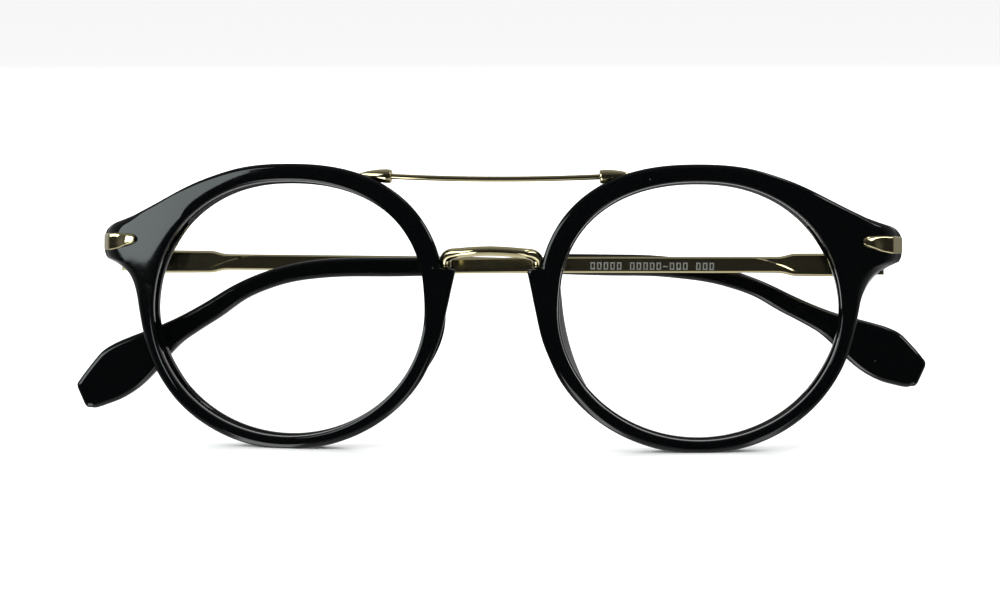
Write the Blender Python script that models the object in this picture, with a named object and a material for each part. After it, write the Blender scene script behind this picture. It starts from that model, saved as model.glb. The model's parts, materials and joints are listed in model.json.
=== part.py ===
"""Round-eye spectacles: two acetate rims, a metal bridge, a brow bar and folding metal temples.

The front is modelled upright in its own axes, in millimetres: x to the wearer's left, y from the
front of the lenses towards the wearer's ear, v upwards from the lens centres. The empty "front" then
leans it back and stands it on the flat lands under the rims, and metres follow from MM. The temples
are folded at rest.
"""

import math

import bmesh
import bpy
from mathutils import Vector

MM = 0.001

# Driving dimensions, in millimetres and degrees. Boxing system: lens width 48, bridge 21, temple 145.
LENS_WIDTH = 48.0
BRIDGE_WIDTH = 21.0
LENS_CENTRE = (LENS_WIDTH + BRIDGE_WIDTH) / 2
BEVEL_HIDDEN = 0.5
APERTURE_A = LENS_WIDTH / 2 - BEVEL_HIDDEN
APERTURE_B = 21.5
RIM_THICKNESS = 4.0
FACE_WRAP = math.tan(math.radians(6.0))
BASE_RADIUS = 150.0
LEAN = math.radians(6.0)
FOOT_DEPTH = 0.25
# The origin is under the middle of the folded spectacles' box, this far behind the front of the lenses.
ORIGIN_BACK = 10.95

SWEEP_START = 18.0
SWEEP_SLOPE = 0.27
SWEEP_EASE = 4.0
SEAT_Y = 14.0
LUG_FLARE = 1.7

HINGE_X = 64.2
HINGE_Y = 15.9
HINGE_V = 7.5
KNUCKLE_R = 1.1
KNUCKLE_HEIGHT = 0.9
KNUCKLE_GAP = 0.05
BORE_R = 0.5
SCREW_R = 0.42
HEAD_R = 0.85
HEAD_HEIGHT = 0.55
SLOT_WIDTH = 0.26
SLOT_DEPTH = 0.25

FOLD_INNER = 1.9
FOLD_OUTER = -1.5
BLOCK_FRONT = -1.8
BLOCK_LENGTH = 14.2
BLOCK_HALF_HEIGHT = 1.75
BLOCK_HALF_THICK = 1.3
SHAFT_HALF_HEIGHT = 1.22
SHAFT_HALF_THICK = 0.65
TEMPLE_OFFSET = 2.6
TIP_START = 72.0
CORE_HALF_HEIGHT = 0.75
CORE_HALF_THICK = 0.45
FIT_GAP = 0.08

ACETATE = ("acetate_black", (0.010, 0.012, 0.014), 0.12, 0.0)
GOLD = ("pale_gold", (0.62, 0.55, 0.36), 0.16, 1.0)
SCREW_METAL = ("screw_gold", (0.55, 0.50, 0.36), 0.25, 1.0)
CLEAR = ("clear_lens", (0.93, 0.96, 0.95), 0.02, 0.0)


# ---------------------------------------------------------------- scene and mesh helpers

def clear_scene():
    for obj in list(bpy.data.objects):
        bpy.data.objects.remove(obj, do_unlink=True)


def material(spec):
    name, colour, roughness, metallic = spec
    found = bpy.data.materials.get(name)
    if found:
        return found
    made = bpy.data.materials.new(name)
    made.use_nodes = True
    shader = made.node_tree.nodes["Principled BSDF"]
    shader.inputs["Base Color"].default_value = (*colour, 1.0)
    shader.inputs["Roughness"].default_value = roughness
    shader.inputs["Metallic"].default_value = metallic
    made.diffuse_color = (*colour, 1.0)
    return made


def add_object(name, points, faces, finish, parent):
    """A closed mesh from points in millimetres, its faces turned outwards."""
    mesh = bpy.data.meshes.new(name)
    mesh.from_pydata([Vector(p) * MM for p in points], [], faces)
    shaped = bmesh.new()
    shaped.from_mesh(mesh)
    bmesh.ops.recalc_face_normals(shaped, faces=shaped.faces)
    if shaped.calc_volume(signed=True) < 0:
        bmesh.ops.reverse_faces(shaped, faces=shaped.faces)
    shaped.to_mesh(mesh)
    shaped.free()
    obj = bpy.data.objects.new(name, mesh)
    bpy.context.scene.collection.objects.link(obj)
    obj.parent = parent
    if finish:
        mesh.materials.append(material(finish))
    mesh.shade_smooth()
    mesh.set_sharp_from_angle(angle=math.radians(35))
    return obj


def add_cutter(name, points, faces, parent):
    obj = add_object(name, points, faces, None, parent)
    obj.hide_render = True
    obj.display_type = "WIRE"
    return obj


def add_empty(name, parent=None):
    empty = bpy.data.objects.new(name, None)
    bpy.context.scene.collection.objects.link(empty)
    empty.parent = parent
    return empty


def boolean(obj, cutter, operation):
    modifier = obj.modifiers.new(cutter.name, "BOOLEAN")
    modifier.operation = operation
    modifier.object = cutter


def loft(sections, closed=False):
    """Points and faces through sections of equal length: a tube with capped ends, or a closed ring."""
    count = len(sections[0])
    points = [p for section in sections for p in section]
    faces = []
    last = len(sections) if closed else len(sections) - 1
    for i in range(last):
        j = (i + 1) % len(sections)
        for k in range(count):
            m = (k + 1) % count
            faces.append((i * count + k, i * count + m, j * count + m, j * count + k))
    if not closed:
        faces.append(tuple(range(count))[::-1])
        faces.append(tuple(range((len(sections) - 1) * count, len(sections) * count)))
    return points, faces


def turned(profile, sides, start, axis):
    """A solid turned about the line from start along axis. The profile lists (distance along, radius)."""
    axis = Vector(axis).normalized()
    across = axis.orthogonal().normalized()
    other = axis.cross(across)
    sections = []
    for along, radius in profile:
        centre = Vector(start) + axis * along
        turn = [2 * math.pi * k / sides for k in range(sides)]
        sections.append([centre + (across * math.cos(a) + other * math.sin(a)) * radius for a in turn])
    return loft(sections)


def prism(outline, low, high):
    """A solid with the given outline in x and y, from low to high in v."""
    return loft([[(x, y, low) for x, y in outline], [(x, y, high) for x, y in outline]])


def smooth_through(controls, steps):
    """Points on a Catmull-Rom curve through the controls, steps to each stretch, in any dimension."""
    ends = [2 * Vector(controls[0]) - Vector(controls[1])], [2 * Vector(controls[-1]) - Vector(controls[-2])]
    knots = ends[0] + [Vector(c) for c in controls] + ends[1]
    out = []
    for a, b, c, d in zip(knots, knots[1:], knots[2:], knots[3:]):
        for step in range(steps):
            t = step / steps
            out.append(0.5 * (2 * b + (c - a) * t + (2 * a - 5 * b + 4 * c - d) * t * t
                              + (3 * b - a - 3 * c + d) * t ** 3))
    out.append(knots[-2])
    return out


def swept(path, halves, sides, depth_axis=(0, 1, 0)):
    """A tube along path. halves lists, for each point, the half-widths across and along depth_axis."""
    path = [Vector(p) for p in path]
    sections = []
    for i, point in enumerate(path):
        ahead = path[min(i + 1, len(path) - 1)]
        behind = path[max(i - 1, 0)]
        along = (ahead - behind).normalized()
        depth = Vector(depth_axis)
        depth = (depth - along * depth.dot(along)).normalized()
        across = along.cross(depth)
        half_across, half_depth = halves[i]
        turn = [2 * math.pi * k / sides for k in range(sides)]
        sections.append([point + across * (math.cos(a) * half_across) + depth * (math.sin(a) * half_depth)
                         for a in turn])
    return loft(sections)


# ---------------------------------------------------------------- surfaces of the front

def front_y(x, v):
    """Depth of the polished front surface: a base curve, wrapped, with the lugs swept back."""
    u = abs(x) - LENS_CENTRE
    depth = FACE_WRAP * u + (u * u + v * v) / (2 * BASE_RADIUS)
    beyond = u - SWEEP_START
    if beyond > 0:
        depth += SWEEP_SLOPE * beyond * beyond / (beyond + SWEEP_EASE)
    return depth


def eased(value):
    """0 below 0, 1 above 1, and smooth between."""
    t = min(1, max(0, value))
    return t * t * (3 - 2 * t)


def inward(x, v, depth):
    """The point at a depth under (x, v) of the front surface.

    The walls stand square to the base curve, but a lug's end flares outwards behind. Behind the lugs
    the back is cut off flat, to seat the temples.
    """
    u = x - LENS_CENTRE
    slope = (front_y(x + 0.1, v) - front_y(x - 0.1, v)) / 0.2
    lean_u = -(FACE_WRAP + u / BASE_RADIUS) * (1 - eased((u - 20) / 8))
    flare = LUG_FLARE / RIM_THICKNESS * eased((u - 25.5) / 5)
    thickened = depth * math.hypot(1, slope)
    back = min(front_y(x, v) + thickened, SEAT_Y)
    return x + depth * (lean_u + flare), back, v - depth * v / BASE_RADIUS


def back_y(x, v):
    """Depth of the back surface behind a point seen from the front."""
    at_x, at_v = x, v
    for _ in range(4):
        back = inward(at_x, at_v, RIM_THICKNESS)
        at_x += x - back[0]
        at_v += v - back[2]
    return inward(at_x, at_v, RIM_THICKNESS)[1]


def superellipse_radius(angle, a, b, power):
    spread = (abs(math.cos(angle)) / a) ** power + (abs(math.sin(angle)) / b) ** power
    return spread ** (-1 / power)


def aperture_radius(angle):
    """The lens opening: an ellipse below and a little squarer above, most of all towards the nose."""
    squarer = 0.215 - 0.12 * math.cos(angle) if math.sin(angle) > 0 else 0.0
    return superellipse_radius(angle, APERTURE_A, APERTURE_B, 2.0 + squarer)


# Outer outline about the lens centre, as (outwards, up): the lug at the temple side, the ledge at the nose.
LUG = ((10.6, 23.15), (15.2, 21.6), (19.2, 19.8), (22.7, 18.0), (26.2, 16.25), (29.0, 15.1), (31.0, 14.3),
       (32.0, 12.9), (32.2, 11.0), (32.05, 9.3), (31.45, 8.3), (30.35, 7.9), (29.25, 7.1), (28.1, 5.8),
       (27.25, 4.0), (26.45, 1.2), (25.9, -2.0), (25.25, -5.0))
FLANGE = ((-26.15, 7.6), (-26.25, 7.05), (-26.6, 6.93), (-27.2, 6.9), (-28.1, 6.87), (-28.55, 6.5),
          (-28.35, 5.4), (-27.15, 0.0), (-26.0, -5.0), (-23.9, -10.0))


def polar(points):
    return [(math.atan2(v, u) % (2 * math.pi), math.hypot(u, v)) for u, v in points]


def outline_parts():
    """The lug's and the flange's dense outlines as rising lists of (angle, radius)."""
    lug = polar([(p[0], p[1]) for p in smooth_through([(u, v, 0) for u, v in LUG], 4)])
    lug = sorted((a - 2 * math.pi if a > math.pi else a, r) for a, r in lug)
    flange = sorted(polar([(p[0], p[1]) for p in smooth_through([(u, v, 0) for u, v in FLANGE], 4)]))
    return lug, flange


LUG_OUTLINE, FLANGE_OUTLINE = outline_parts()


def along_outline(outline, angle):
    for (a, r), (b, s) in zip(outline, outline[1:]):
        if a <= angle <= b:
            return r + (s - r) * (angle - a) / max(b - a, 1e-9)
    return None


def rim_radius(angle):
    """Outer radius of the rim at an angle from the lens centre, 0 towards the temple."""
    signed = angle - 2 * math.pi if angle > math.pi else angle
    found = along_outline(LUG_OUTLINE, signed) or along_outline(FLANGE_OUTLINE, angle)
    if found:
        return found
    above = math.sin(angle) > 0
    nasal = math.cos(angle) < 0
    half_width = (26.9 if above else 26.45) if nasal else 25.8
    return superellipse_radius(angle, half_width, 24.4 if above else 23.7, 2.4 if above else 2.0)


def rim_angles():
    """Angles for the rim's sections: every 6 degrees, closer round the lug's corners and the nose ledge."""
    stops = [(-6, 5, 4), (5, 27, 1.6), (27, 60, 4.2), (60, 162, 6), (162, 170, 1), (170, 354, 6)]
    angles = []
    for start, end, step in stops:
        count = round((end - start) / step)
        angles += [start + (end - start) * k / count for k in range(count)]
    return [math.radians(a) % (2 * math.pi) for a in angles]


EDGE_ROUND = 0.5
INNER_ROUND = 0.4
GROOVE_TOP = 1.2
GROOVE_APEX = 2.0
GROOVE_BOTTOM = 2.8
GROOVE_DEPTH = 0.65


def rim_profile(width):
    """One section of the rim, as (distance from the opening, depth from the front, depth from the back)."""
    bend = math.sqrt(0.5)
    r, e = INNER_ROUND, EDGE_ROUND
    flat = width - r - e
    return [
        (0, r, None), (r * (1 - bend), r * (1 - bend), None), (r, 0, None),
        (r + flat / 3, 0, None), (r + flat * 2 / 3, 0, None),
        (width - e, 0, None), (width - e * (1 - bend), e * (1 - bend), None), (width, e, None),
        (width, None, e), (width - e * (1 - bend), None, e * (1 - bend)), (width - e, None, 0),
        (r + flat * 2 / 3, None, 0), (r + flat / 3, None, 0), (r, None, 0), (0, None, r),
        (0, GROOVE_BOTTOM, None), (GROOVE_DEPTH, GROOVE_APEX, None), (0, GROOVE_TOP, None),
    ]


def rim_point(side, angle, distance, from_front, from_back):
    radius = aperture_radius(angle) + distance
    x = LENS_CENTRE + radius * math.cos(angle)
    v = radius * math.sin(angle)
    if from_back is None:
        x, y, v = inward(x, v, from_front)
    else:
        seat = inward(x, v, RIM_THICKNESS)[1]
        x, y, v = inward(x, v, RIM_THICKNESS - from_back)
        y = seat - from_back
    return side * x, y, v


def rim_sections(side):
    sections = []
    for angle in rim_angles():
        width = rim_radius(angle) - aperture_radius(angle)
        sections.append([rim_point(side, angle, *step) for step in rim_profile(width)])
    return sections


def upright_height(point):
    """Height of a point of the front once it leans back, before it is lifted onto its feet."""
    return point[2] * math.cos(LEAN) - point[1] * math.sin(LEAN)


LIFT = -min(upright_height(p) for section in rim_sections(1) for p in section) - FOOT_DEPTH


def footed(point):
    """A point below the ground is moved up to it, which leaves a flat land under the rim."""
    below = upright_height(point) + LIFT
    if below >= 0:
        return point
    return point[0], point[1], point[2] - below / math.cos(LEAN)


# ---------------------------------------------------------------- acetate front and lenses

def add_rim(side, word, front):
    points, faces = loft([[footed(p) for p in section] for section in rim_sections(side)], closed=True)
    return add_object("rim_" + word, points, faces, ACETATE, front)


LENS_SIDES = 60
LENS_RINGS = 3
LENS_FRONT = 1.3
LENS_BACK = 2.7
LENS_EDGE_INSIDE = -0.06
LENS_APEX = 0.4


def add_lens(side, word, front):
    """A meniscus lens whose bevelled edge sits in the rim's groove."""
    angles = [2 * math.pi * k / LENS_SIDES for k in range(LENS_SIDES)]

    def ring(share, distance, depth):
        out = []
        for angle in angles:
            radius = (aperture_radius(angle) + distance) * share
            x = LENS_CENTRE + radius * math.cos(angle)
            v = radius * math.sin(angle)
            x, y, v = inward(x, v, depth)
            out.append((side * x, y, v))
        return out

    shares = [(k + 1) / LENS_RINGS for k in range(LENS_RINGS)]
    rings = [ring(share, LENS_EDGE_INSIDE, LENS_FRONT) for share in shares]
    rings.append(ring(1, LENS_APEX, GROOVE_APEX))
    rings += [ring(share, LENS_EDGE_INSIDE, LENS_BACK) for share in shares[::-1]]
    points, faces = loft(rings)
    faces = faces[:-2]
    for base, depth in ((0, LENS_FRONT), ((len(rings) - 1) * LENS_SIDES, LENS_BACK)):
        x, y, v = inward(LENS_CENTRE, 0, depth)
        points.append((side * x, y, v))
        centre = len(points) - 1
        faces += [(base + k, base + (k + 1) % LENS_SIDES, centre) for k in range(LENS_SIDES)]
    return add_object("lens_" + word, points, faces, CLEAR, front)


PAD_TOP = 4.6
PAD_BOTTOM = -12.6
PAD_STATIONS = 13
PAD_REACH = 6.0
PAD_FLARE = 1.5
PAD_ROOT = 2.5
PAD_EDGE = 1.2


def pad_section(side, share):
    """One level of the nose pad: a wedge from the rim's back, flaring outwards and backwards."""
    v = PAD_TOP + (PAD_BOTTOM - PAD_TOP) * share
    angle = math.pi - math.asin(max(-1, min(1, v / APERTURE_B))) * 0.97
    opening = LENS_CENTRE + aperture_radius(angle % (2 * math.pi)) * math.cos(angle)
    swell = math.sin(math.pi * (0.10 + 0.80 * share)) ** 0.8
    root = PAD_ROOT * (0.55 + 0.45 * swell)
    reach, flare = PAD_REACH * swell, PAD_FLARE * swell
    outer = opening - 0.75
    inner = outer - root
    edge = PAD_EDGE * (0.5 + 0.5 * swell)
    plan = [
        (inner, 0.0), (outer, 0.0),
        (outer + flare * 0.45, reach * 0.42), (outer + flare * 0.80, reach * 0.78),
        (outer + flare * 0.93, reach * 0.95), (outer + flare * 0.80, reach + edge * 0.25),
        (outer + flare * 0.55, reach + edge * 0.1), (inner + flare * 0.42, reach * 0.72),
        (inner + flare * 0.12, reach * 0.32),
    ]
    base = max(back_y(inner, v), back_y(outer, v)) + FIT_GAP
    return [(side * x, base + depth, v) for x, depth in plan]


def add_nose_pad(side, word, front):
    sections = [pad_section(side, k / (PAD_STATIONS - 1)) for k in range(PAD_STATIONS)]
    return add_object("nose_pad_" + word, *loft(sections), ACETATE, front)


# ---------------------------------------------------------------- bridge and brow bar

FOOT_X = 7.35
FOOT_Y = 1.3
FOOT_V = 7.15
FOOT_R = 0.8
POST_R = 0.42
POST_LENGTH = 2.6
BRIDGE_SIDES = 12
# Half of the bridge from its foot to the middle: x, y, v, half-height, half-depth.
BRIDGE_HALF = ((FOOT_X, FOOT_Y, FOOT_V, FOOT_R, FOOT_R), (7.38, 1.2, 7.9, 0.82, 0.85),
               (7.2, 0.9, 8.8, 0.86, 0.95), (6.45, 0.3, 9.4, 0.82, 1.05), (5.0, -0.5, 9.62, 0.74, 1.12),
               (2.6, -1.15, 9.85, 0.72, 1.15), (0, -1.35, 9.95, 0.72, 1.15))


def post(side, radius, extra):
    start = (side * FOOT_X, FOOT_Y, FOOT_V + 0.05)
    return turned([(0, radius), (POST_LENGTH + 0.05 + extra, radius)], 12, start, (0, 0, -1))


def add_bridge(front):
    """A staple-shaped bead with a post under each foot."""
    half = smooth_through([Vector(p[:3]) for p in BRIDGE_HALF], 2)
    widths = smooth_through([(p[3], p[4], 0) for p in BRIDGE_HALF], 2)
    path = half + [Vector((-p[0], p[1], p[2])) for p in half[-2::-1]]
    halves = [(w[0], w[1]) for w in widths + widths[-2::-1]]
    stub_r = POST_R
    for end, at in ((0, path[0]), (len(path), path[-1])):
        low = at - Vector((0, 0, POST_LENGTH))
        shoulder = at - Vector((0, 0, 0.001))
        if end:
            path += [shoulder, low]
            halves += [(stub_r, stub_r)] * 2
        else:
            path = [low, shoulder] + path
            halves = [(stub_r, stub_r)] * 2 + halves
    return add_object("bridge", *swept(path, halves, BRIDGE_SIDES), GOLD, front)


BAR_R = 0.46
BAR_MIDDLE_V = 21.76
BAR_MIDDLE_Y = 1.5
FERRULE_X = 17.35
BAR_SLOPE_V = 0.05
BAR_SLOPE_Y = 0.10
FERRULE_BORE = 0.54
BAR_IN_FERRULE = 2.6
FERRULE_V = BAR_MIDDLE_V + BAR_SLOPE_V * FERRULE_X / 2
FERRULE_Y = BAR_MIDDLE_Y + BAR_SLOPE_Y * FERRULE_X / 2
# The ferrule's outside, from its flat end: distance along, radius.
FERRULE = ((0.0, 1.03), (0.12, 1.16), (1.0, 1.18), (2.0, 1.1), (3.0, 0.95), (4.0, 0.74), (5.0, 0.44),
           (5.6, 0.18))


def ferrule_axis(side):
    return Vector((side, BAR_SLOPE_Y, BAR_SLOPE_V)).normalized()


def add_brow_bar(front):
    """A thin bowed wire whose ends run straight into the ferrules."""
    steps = 8
    path = []
    for k in range(-steps, steps + 1):
        share = k / steps
        y = BAR_MIDDLE_Y + (FERRULE_Y - BAR_MIDDLE_Y) * share * share
        v = BAR_MIDDLE_V + (FERRULE_V - BAR_MIDDLE_V) * share * share
        path.append(Vector((FERRULE_X * share, y, v)))
    path.insert(0, path[0] + ferrule_axis(-1) * BAR_IN_FERRULE)
    path.append(path[-1] + ferrule_axis(1) * BAR_IN_FERRULE)
    return add_object("brow_bar", *swept(path, [(BAR_R, BAR_R)] * len(path), 10), GOLD, front)


def ferrule_profile(grow):
    return [(along - (grow if k == 0 else 0), radius + grow) for k, (along, radius) in enumerate(FERRULE)]


def add_ferrule(side, word, front):
    """A bullet-shaped cap, bored for the brow bar at its flat end."""
    bore = [(BAR_IN_FERRULE + 0.2, 0.001), (BAR_IN_FERRULE + 0.2, FERRULE_BORE), (0.0, FERRULE_BORE)]
    start = (side * FERRULE_X, FERRULE_Y, FERRULE_V)
    profile = bore + ferrule_profile(0)
    return add_object("brow_ferrule_" + word, *turned(profile, 16, start, ferrule_axis(side)), GOLD, front)


# ---------------------------------------------------------------- plaque on the lug

PLAQUE_V = 11.2
PLAQUE_PROUD = 0.3
PLAQUE_INSET = 0.6
PLAQUE_PILLOW = 0.25
PLAQUE_CORNER_X = 65.35
PLAQUE_CORNER_R = 0.75
PLAQUE_BACK = SEAT_Y - 0.35
# Along the plaque from its rounded tip: x, half-height, centre height above PLAQUE_V.
PLAQUE_FRONT = ((61.25, 0.22, 0.45), (61.5, 0.62, 0.43), (62.1, 0.92, 0.36), (63.1, 1.12, 0.25),
                (64.2, 1.28, 0.12), (65.2, 1.38, 0.0))


def plaque_stations():
    """(point on the acetate surface, direction out of it, half-height, pillow) along the plaque, in plan."""
    out = []
    for x, half, rise in PLAQUE_FRONT:
        slope = (front_y(x + 0.1, PLAQUE_V) - front_y(x - 0.1, PLAQUE_V)) / 0.2
        outward = Vector((slope, -1, 0)).normalized()
        out.append((Vector((x, front_y(x, PLAQUE_V), PLAQUE_V + rise)), outward, half, PLAQUE_PILLOW))
    flank = math.atan2(LUG_FLARE, RIM_THICKNESS)
    centre = Vector((PLAQUE_CORNER_X, front_y(PLAQUE_CORNER_X, PLAQUE_V) + PLAQUE_CORNER_R, PLAQUE_V - 0.08))
    for angle in (-math.radians(52), -flank):
        outward = Vector((math.cos(angle), math.sin(angle), 0))
        out.append((centre + outward * PLAQUE_CORNER_R, outward, 1.46, 0.1))
    along = Vector((math.sin(flank), math.cos(flank), 0))
    outward = Vector((math.cos(flank), -math.sin(flank), 0))
    start = out[-1][0]
    end = (PLAQUE_BACK - start.y) / along.y
    for share in (0.5, 1.0):
        out.append((start + along * end * share + Vector((0, 0, -0.06 * share)), outward, 1.5, 0.05))
    return out


def plaque_solid(side, grow):
    """The plaque, or with grow the larger solid that cuts its recess."""
    sections = []
    stations = plaque_stations()
    for k, (at, outward, half, pillow) in enumerate(stations):
        at = at.copy()
        if grow and k == len(stations) - 1:
            at += (at - stations[-2][0]).normalized() * 1.5
        if grow and k == 0:
            at.x -= grow
        half += grow
        inset, proud = PLAQUE_INSET + grow, PLAQUE_PROUD + grow
        pillow = min(pillow, half * 0.4)
        across = [(-half, -inset), (-half, proud * 0.35), (-half * 0.8, proud), (0, proud + pillow),
                  (half * 0.8, proud), (half, proud * 0.35), (half, -inset)]
        section = [at + outward * out + Vector((0, 0, up)) for up, out in across]
        sections.append([(side * p[0], p[1], p[2]) for p in section])
    return loft(sections)


def add_plaque(side, word, front):
    return add_object("endpiece_plaque_" + word, *plaque_solid(side, 0), GOLD, front)


# ---------------------------------------------------------------- hinges

PLATE_INNER = 59.9
PLATE_OUTER = 65.2
PLATE_THICK = 0.75
PLATE_LOW = HINGE_V - 0.5
PLATE_HIGH = 12.0
PEGS = ((61.3, 9.0), (63.4, 10.6))
PEG_R = 0.5
PEG_DEPTH = 1.9
ROUND_SIDES = 20
WEB_SETBACK = 0.05


def mirrored(outline, side):
    return [(side * x, y) for x, y in outline]


def seat_y(x):
    """The deepest point of the lug's back over the plate's height."""
    return max(back_y(x, v) for v in (PLATE_LOW, PLATE_HIGH)) + FIT_GAP


def plate_outline():
    xs = [PLATE_INNER + (PLATE_OUTER - PLATE_INNER) * k / 5 for k in range(6)]
    near = [(x, seat_y(x)) for x in xs]
    return near + [(x, y + PLATE_THICK) for x, y in near[::-1]]


def disc(centre, radius):
    turn = [2 * math.pi * k / ROUND_SIDES for k in range(ROUND_SIDES)]
    return [(centre[0] + radius * math.cos(a), centre[1] + radius * math.sin(a)) for a in turn]


def knuckle_levels():
    """(low, high) of the lower, middle and upper knuckle."""
    pitch = KNUCKLE_HEIGHT + KNUCKLE_GAP
    return [(HINGE_V + pitch * k - KNUCKLE_HEIGHT / 2, HINGE_V + pitch * k + KNUCKLE_HEIGHT / 2)
            for k in (-1, 0, 1)]


def half_disc(centre, toward):
    """Half of a knuckle in plan, bulging in y towards +1 or -1, from its +x side to its -x side."""
    turn = [math.pi * k / (ROUND_SIDES // 2) for k in range(ROUND_SIDES // 2 + 1)]
    x, y = centre
    return [(x + KNUCKLE_R * math.cos(a), y + toward * KNUCKLE_R * math.sin(a)) for a in turn]


def bore_cutter(side, word, front):
    centre = (side * HINGE_X, HINGE_Y)
    low = HINGE_V - 3
    return add_cutter("hinge_bore_cutter_" + word, *prism(disc(centre, BORE_R), low, low + 6), front)


def add_front_hinge(side, word, front, bore):
    """The leaf on the lug's back: two pegs into the acetate, two knuckles, an apron to the lower one."""
    name = "front_hinge_" + word
    leaf = add_object(name, *prism(mirrored(plate_outline(), side), PLATE_LOW, PLATE_HIGH), GOLD, front)
    inner_x, outer_x = HINGE_X - KNUCKLE_R, PLATE_OUTER - WEB_SETBACK
    web = [(inner_x, seat_y(inner_x) + PLATE_THICK / 2), (outer_x, seat_y(outer_x) + PLATE_THICK / 2)]
    levels = knuckle_levels()
    for label, (low, high) in (("low", levels[0]), ("high", levels[2])):
        outline = mirrored(half_disc((HINGE_X, HINGE_Y), 1) + web, side)
        knuckle = add_cutter(name + "_knuckle_" + label, *prism(outline, low, high), front)
        boolean(leaf, knuckle, "UNION")
    apron = web + [(x, seat_y(x) + PLATE_THICK) for x in (outer_x, inner_x)]
    solid = prism(mirrored(apron, side), levels[0][0], PLATE_LOW + PLATE_THICK)
    boolean(leaf, add_cutter(name + "_apron", *solid, front), "UNION")
    for k, (x, v) in enumerate(PEGS):
        start = (side * x, seat_y(x) + PLATE_THICK * 0.5, v)
        depth = PLATE_THICK * 0.5 + PEG_DEPTH
        solid = turned([(0, PEG_R), (depth, PEG_R)], 12, start, (0, -1, 0))
        boolean(leaf, add_cutter(f"{name}_peg_{k}", *solid, front), "UNION")
    boolean(leaf, bore, "DIFFERENCE")
    return leaf


def peg_holes(side, word, front):
    holes = []
    for k, (x, v) in enumerate(PEGS):
        start = (side * x, seat_y(x) + 1.0, v)
        depth = 1.0 + PEG_DEPTH + FIT_GAP
        solid = turned([(0, PEG_R + FIT_GAP), (depth, PEG_R + FIT_GAP)], 12, start, (0, -1, 0))
        holes.append(add_cutter(f"peg_hole_{word}_{k}", *solid, front))
    return holes


def add_hinge_screw(side, word, front):
    """A slotted screw from above through all three knuckles."""
    levels = knuckle_levels()
    under_head = levels[2][1] + KNUCKLE_GAP
    length = under_head - levels[0][0] - 0.05
    start = (side * HINGE_X, HINGE_Y, under_head + HEAD_HEIGHT)
    profile = [(0, HEAD_R * 0.75), (0.15, HEAD_R), (HEAD_HEIGHT, HEAD_R), (HEAD_HEIGHT, SCREW_R),
               (HEAD_HEIGHT + length - 0.12, SCREW_R), (HEAD_HEIGHT + length, SCREW_R * 0.7)]
    screw = add_object("hinge_screw_" + word, *turned(profile, 16, start, (0, 0, -1)), SCREW_METAL, front)
    x, top = side * HINGE_X, under_head + HEAD_HEIGHT
    corners = [(x - 1.5, -0.5), (x + 1.5, -0.5), (x + 1.5, 0.5), (x - 1.5, 0.5)]
    slot = [(at_x, HINGE_Y + across * SLOT_WIDTH) for at_x, across in corners]
    cutter = add_cutter("slot_cutter_" + word, *prism(slot, top - SLOT_DEPTH, top + 1), front)
    boolean(screw, cutter, "DIFFERENCE")
    return screw


# ---------------------------------------------------------------- temples, in the axes of their pivot
# Here x runs outwards from the wearer's head, y along the temple from the hinge axis, z up from HINGE_V.

HINGE_PLATE = ((0.45, 1.7), (1.24, 1.7), (1.24, 5.4), (0.85, 5.8), (0.45, 5.4))


def add_temple_hinge(side, word, pivot, bore):
    """The leaf on the temple's inner face, with the middle knuckle."""
    name = "temple_hinge_" + word
    leaf = add_object(name, *prism(mirrored(HINGE_PLATE, side), -1.25, 1.25), GOLD, pivot)
    web = [(-KNUCKLE_R, 0.6), (0.5, 2.2), (1.2, 2.2), (1.2, 1.0)]
    low, high = -KNUCKLE_HEIGHT / 2, KNUCKLE_HEIGHT / 2
    outline = mirrored(half_disc((0, 0), -1) + web, side)
    knuckle = add_cutter(name + "_knuckle", *prism(outline, low, high), pivot)
    boolean(leaf, knuckle, "UNION")
    boolean(leaf, bore, "DIFFERENCE")
    return leaf


# The block's lower corner at the hinge is cut off at a slant, back to here, and the lug hides the rest.
CORNER_END = 1.0
# Along the metal temple: distance from the axis, centre height, half-height, half-thickness.
TEMPLE_STATIONS = (
    (BLOCK_FRONT, 1.0, 0.5, BLOCK_HALF_THICK - 0.15),
    (BLOCK_FRONT + 0.25, 0.95, 0.8, BLOCK_HALF_THICK),
    (CORNER_END, 0.0, BLOCK_HALF_HEIGHT, BLOCK_HALF_THICK),
    (6.0, 0.0, BLOCK_HALF_HEIGHT, BLOCK_HALF_THICK),
    (BLOCK_LENGTH, 0.0, BLOCK_HALF_HEIGHT - 0.05, BLOCK_HALF_THICK - 0.25),
    (BLOCK_LENGTH + 1.0, 0.0, BLOCK_HALF_HEIGHT - 0.3, BLOCK_HALF_THICK - 0.4),
    (BLOCK_LENGTH + 2.2, 0.0, SHAFT_HALF_HEIGHT + 0.02, SHAFT_HALF_THICK + 0.1),
    (22.0, -0.05, SHAFT_HALF_HEIGHT, SHAFT_HALF_THICK),
    (45.0, -0.16, SHAFT_HALF_HEIGHT, SHAFT_HALF_THICK),
    (TIP_START - 0.15, -0.3, SHAFT_HALF_HEIGHT, SHAFT_HALF_THICK),
)
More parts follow.
